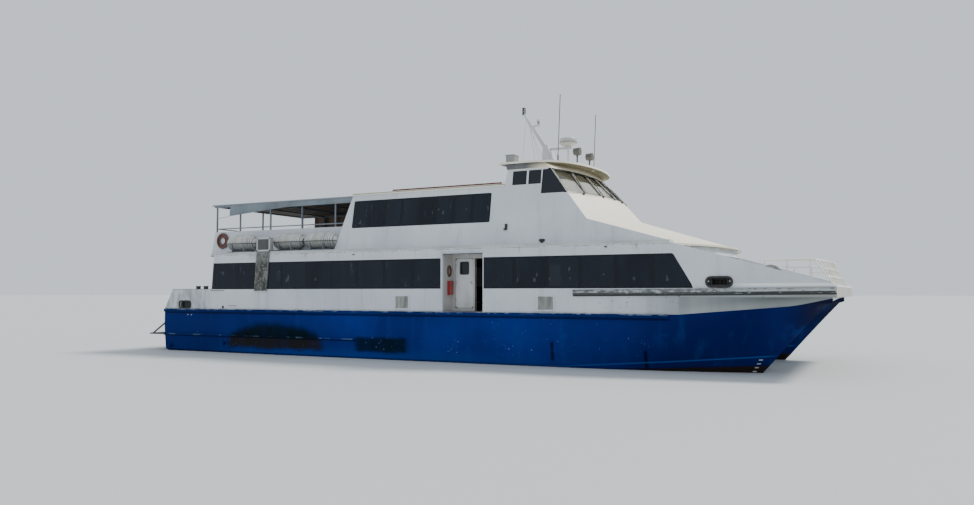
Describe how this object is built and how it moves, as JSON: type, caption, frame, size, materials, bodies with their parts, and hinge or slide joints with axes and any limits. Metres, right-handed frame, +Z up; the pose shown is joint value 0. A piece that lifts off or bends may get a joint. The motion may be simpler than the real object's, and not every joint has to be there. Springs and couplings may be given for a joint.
{
  "type": "twin-hull passenger ferry",
  "caption": "Twin-hull passenger ferry with two passenger decks, a raised wheelhouse, a canopied aft deck, life rafts, propellers, rudders and opening doors.",
  "frame": {"origin": "on the waterline, on the centreline, amidships", "axes": "+X towards the bow, +Y to port, +Z up"},
  "size_m": [31.08, 9.18, 12.727],
  "materials": {
    "hull_paint": "semi-gloss blue over dark antifouling, stained",
    "white_paint": "weathered white enamel",
    "cream_paint": "weathered cream enamel",
    "visor_paint": "weathered olive-brown enamel",
    "dark_glass": "dark tinted bonded panes",
    "clear_glass": "lightly tinted windscreen",
    "deck_paint": "matt non-slip deck paint",
    "canopy_panel": "weathered panel",
    "canvas": "weathered canvas",
    "raft_shell": "moulded glass fibre, weathered",
    "radome_plastic": "moulded",
    "steel": "galvanised and painted, worn",
    "bronze": "cast and machined",
    "louvre_paint": "sooty enamel",
    "seat_cloth": "woven cover",
    "console_plastic": "matt"
  },
  "bodies": {
    "ferry": {"hull_starboard": "hull_paint", "hull_port": "hull_paint", "side_wall_starboard": "white_paint", "side_wall_port": "white_paint", "window_band_aft_starboard": "dark_glass", "window_band_aft_port": "dark_glass", "window_band_fore_starboard": "dark_glass", "window_band_fore_port": "dark_glass", "bow_fairlead_starboard": "steel", "bow_fairlead_port": "steel", "entrance_starboard": "white_paint", "entrance_port": "white_paint", "upper_side_starboard": "white_paint", "upper_side_port": "white_paint", "window_band_upper_starboard": "dark_glass", "window_band_upper_port": "dark_glass", "life_rafts_starboard": "raft_shell", "life_rafts_port": "raft_shell", "vent_trunk_starboard": "louvre_paint", "vent_trunk_port": "louvre_paint", "mooring_bitts_starboard": "steel", "mooring_bitts_port": "steel", "stern_platform_starboard": "steel", "stern_platform_port": "steel", "shaft_bracket_starboard": "steel", "shaft_bracket_port": "steel", "bridge_deck": "white_paint", "cabin_aft_wall": "white_paint", "upper_deck": "deck_paint", "upper_aft_wall": "cream_paint", "wheelhouse_aft_wall": "white_paint", "upper_roof": "white_paint", "coachroof": "cream_paint", "wheelhouse_front": "white_paint", "wheelhouse_glass": "clear_glass", "cabin_front": "white_paint", "wheelhouse_roof": "visor_paint", "mast": "white_paint", "radar": "radome_plastic", "aft_bulwark": "white_paint", "canopy_frame": "steel", "canopy_roof": "canopy_panel", "curtain_starboard": "canvas", "curtain_port": "canvas", "bow_rail": "white_paint", "windlass": "steel", "stern_bulwark": "white_paint", "seats_main": "seat_cloth", "seats_upper": "seat_cloth", "helm": "console_plastic"},
    "propeller_starboard": {"propeller_starboard": "bronze"},
    "propeller_port": {"propeller_port": "bronze"},
    "rudder_starboard": {"rudder_starboard": "steel"},
    "rudder_port": {"rudder_port": "steel"},
    "side_door_starboard": {"side_door_starboard": "white_paint"},
    "side_door_port": {"side_door_port": "white_paint"},
    "cabin_aft_door": {"cabin_aft_door": "white_paint"},
    "upper_aft_door": {"upper_aft_door": "cream_paint"},
    "searchlight_starboard": {"searchlight_starboard": "steel"},
    "searchlight_port": {"searchlight_port": "steel"}
  },
  "joints": [
    {"name": "propeller_starboard_spin", "type": "hinge", "parent": "ferry", "child": "propeller_starboard", "pos_m": [-13.3, -3.1, -1.4], "axis": [0.9903, 0, 0.1392], "continuous": true},
    {"name": "rudder_starboard_turn", "type": "hinge", "parent": "ferry", "child": "rudder_starboard", "pos_m": [-14.08, -3.1, -1.3], "axis": [0, 0, 1], "range_deg": [-35, 35]},
    {"name": "side_door_starboard_swing", "type": "hinge", "parent": "ferry", "child": "side_door_starboard", "pos_m": [0.765, -3.6045, 3.1], "axis": [0, 0, 1], "range_deg": [0, 95]},
    {"name": "searchlight_starboard_pan", "type": "hinge", "parent": "ferry", "child": "searchlight_starboard", "pos_m": [4.92, -0.75, 8.46], "axis": [0, 0, 1], "range_deg": [-170, 170]},
    {"name": "propeller_port_spin", "type": "hinge", "parent": "ferry", "child": "propeller_port", "pos_m": [-13.3, 3.1, -1.4], "axis": [0.9903, 0, 0.1392], "continuous": true},
    {"name": "rudder_port_turn", "type": "hinge", "parent": "ferry", "child": "rudder_port", "pos_m": [-14.08, 3.1, -1.3], "axis": [0, 0, 1], "range_deg": [-35, 35]},
    {"name": "side_door_port_swing", "type": "hinge", "parent": "ferry", "child": "side_door_port", "pos_m": [0.765, 3.6045, 3.1], "axis": [0, 0, -1], "range_deg": [0, 95]},
    {"name": "searchlight_port_pan", "type": "hinge", "parent": "ferry", "child": "searchlight_port", "pos_m": [4.92, 0.75, 8.46], "axis": [0, 0, 1], "range_deg": [-170, 170]},
    {"name": "cabin_aft_door_swing", "type": "hinge", "parent": "ferry", "child": "cabin_aft_door", "pos_m": [-11.8155, 0.405, 3], "axis": [0, 0, -1], "range_deg": [0, 110]},
    {"name": "upper_aft_door_swing", "type": "hinge", "parent": "ferry", "child": "upper_aft_door", "pos_m": [-4.4855, 0.405, 5.6], "axis": [0, 0, -1], "range_deg": [0, 110]}
  ],
  "couplings": [
    {"joint": "rudder_port_turn", "follows": "rudder_starboard_turn", "ratio": 1}
  ]
}
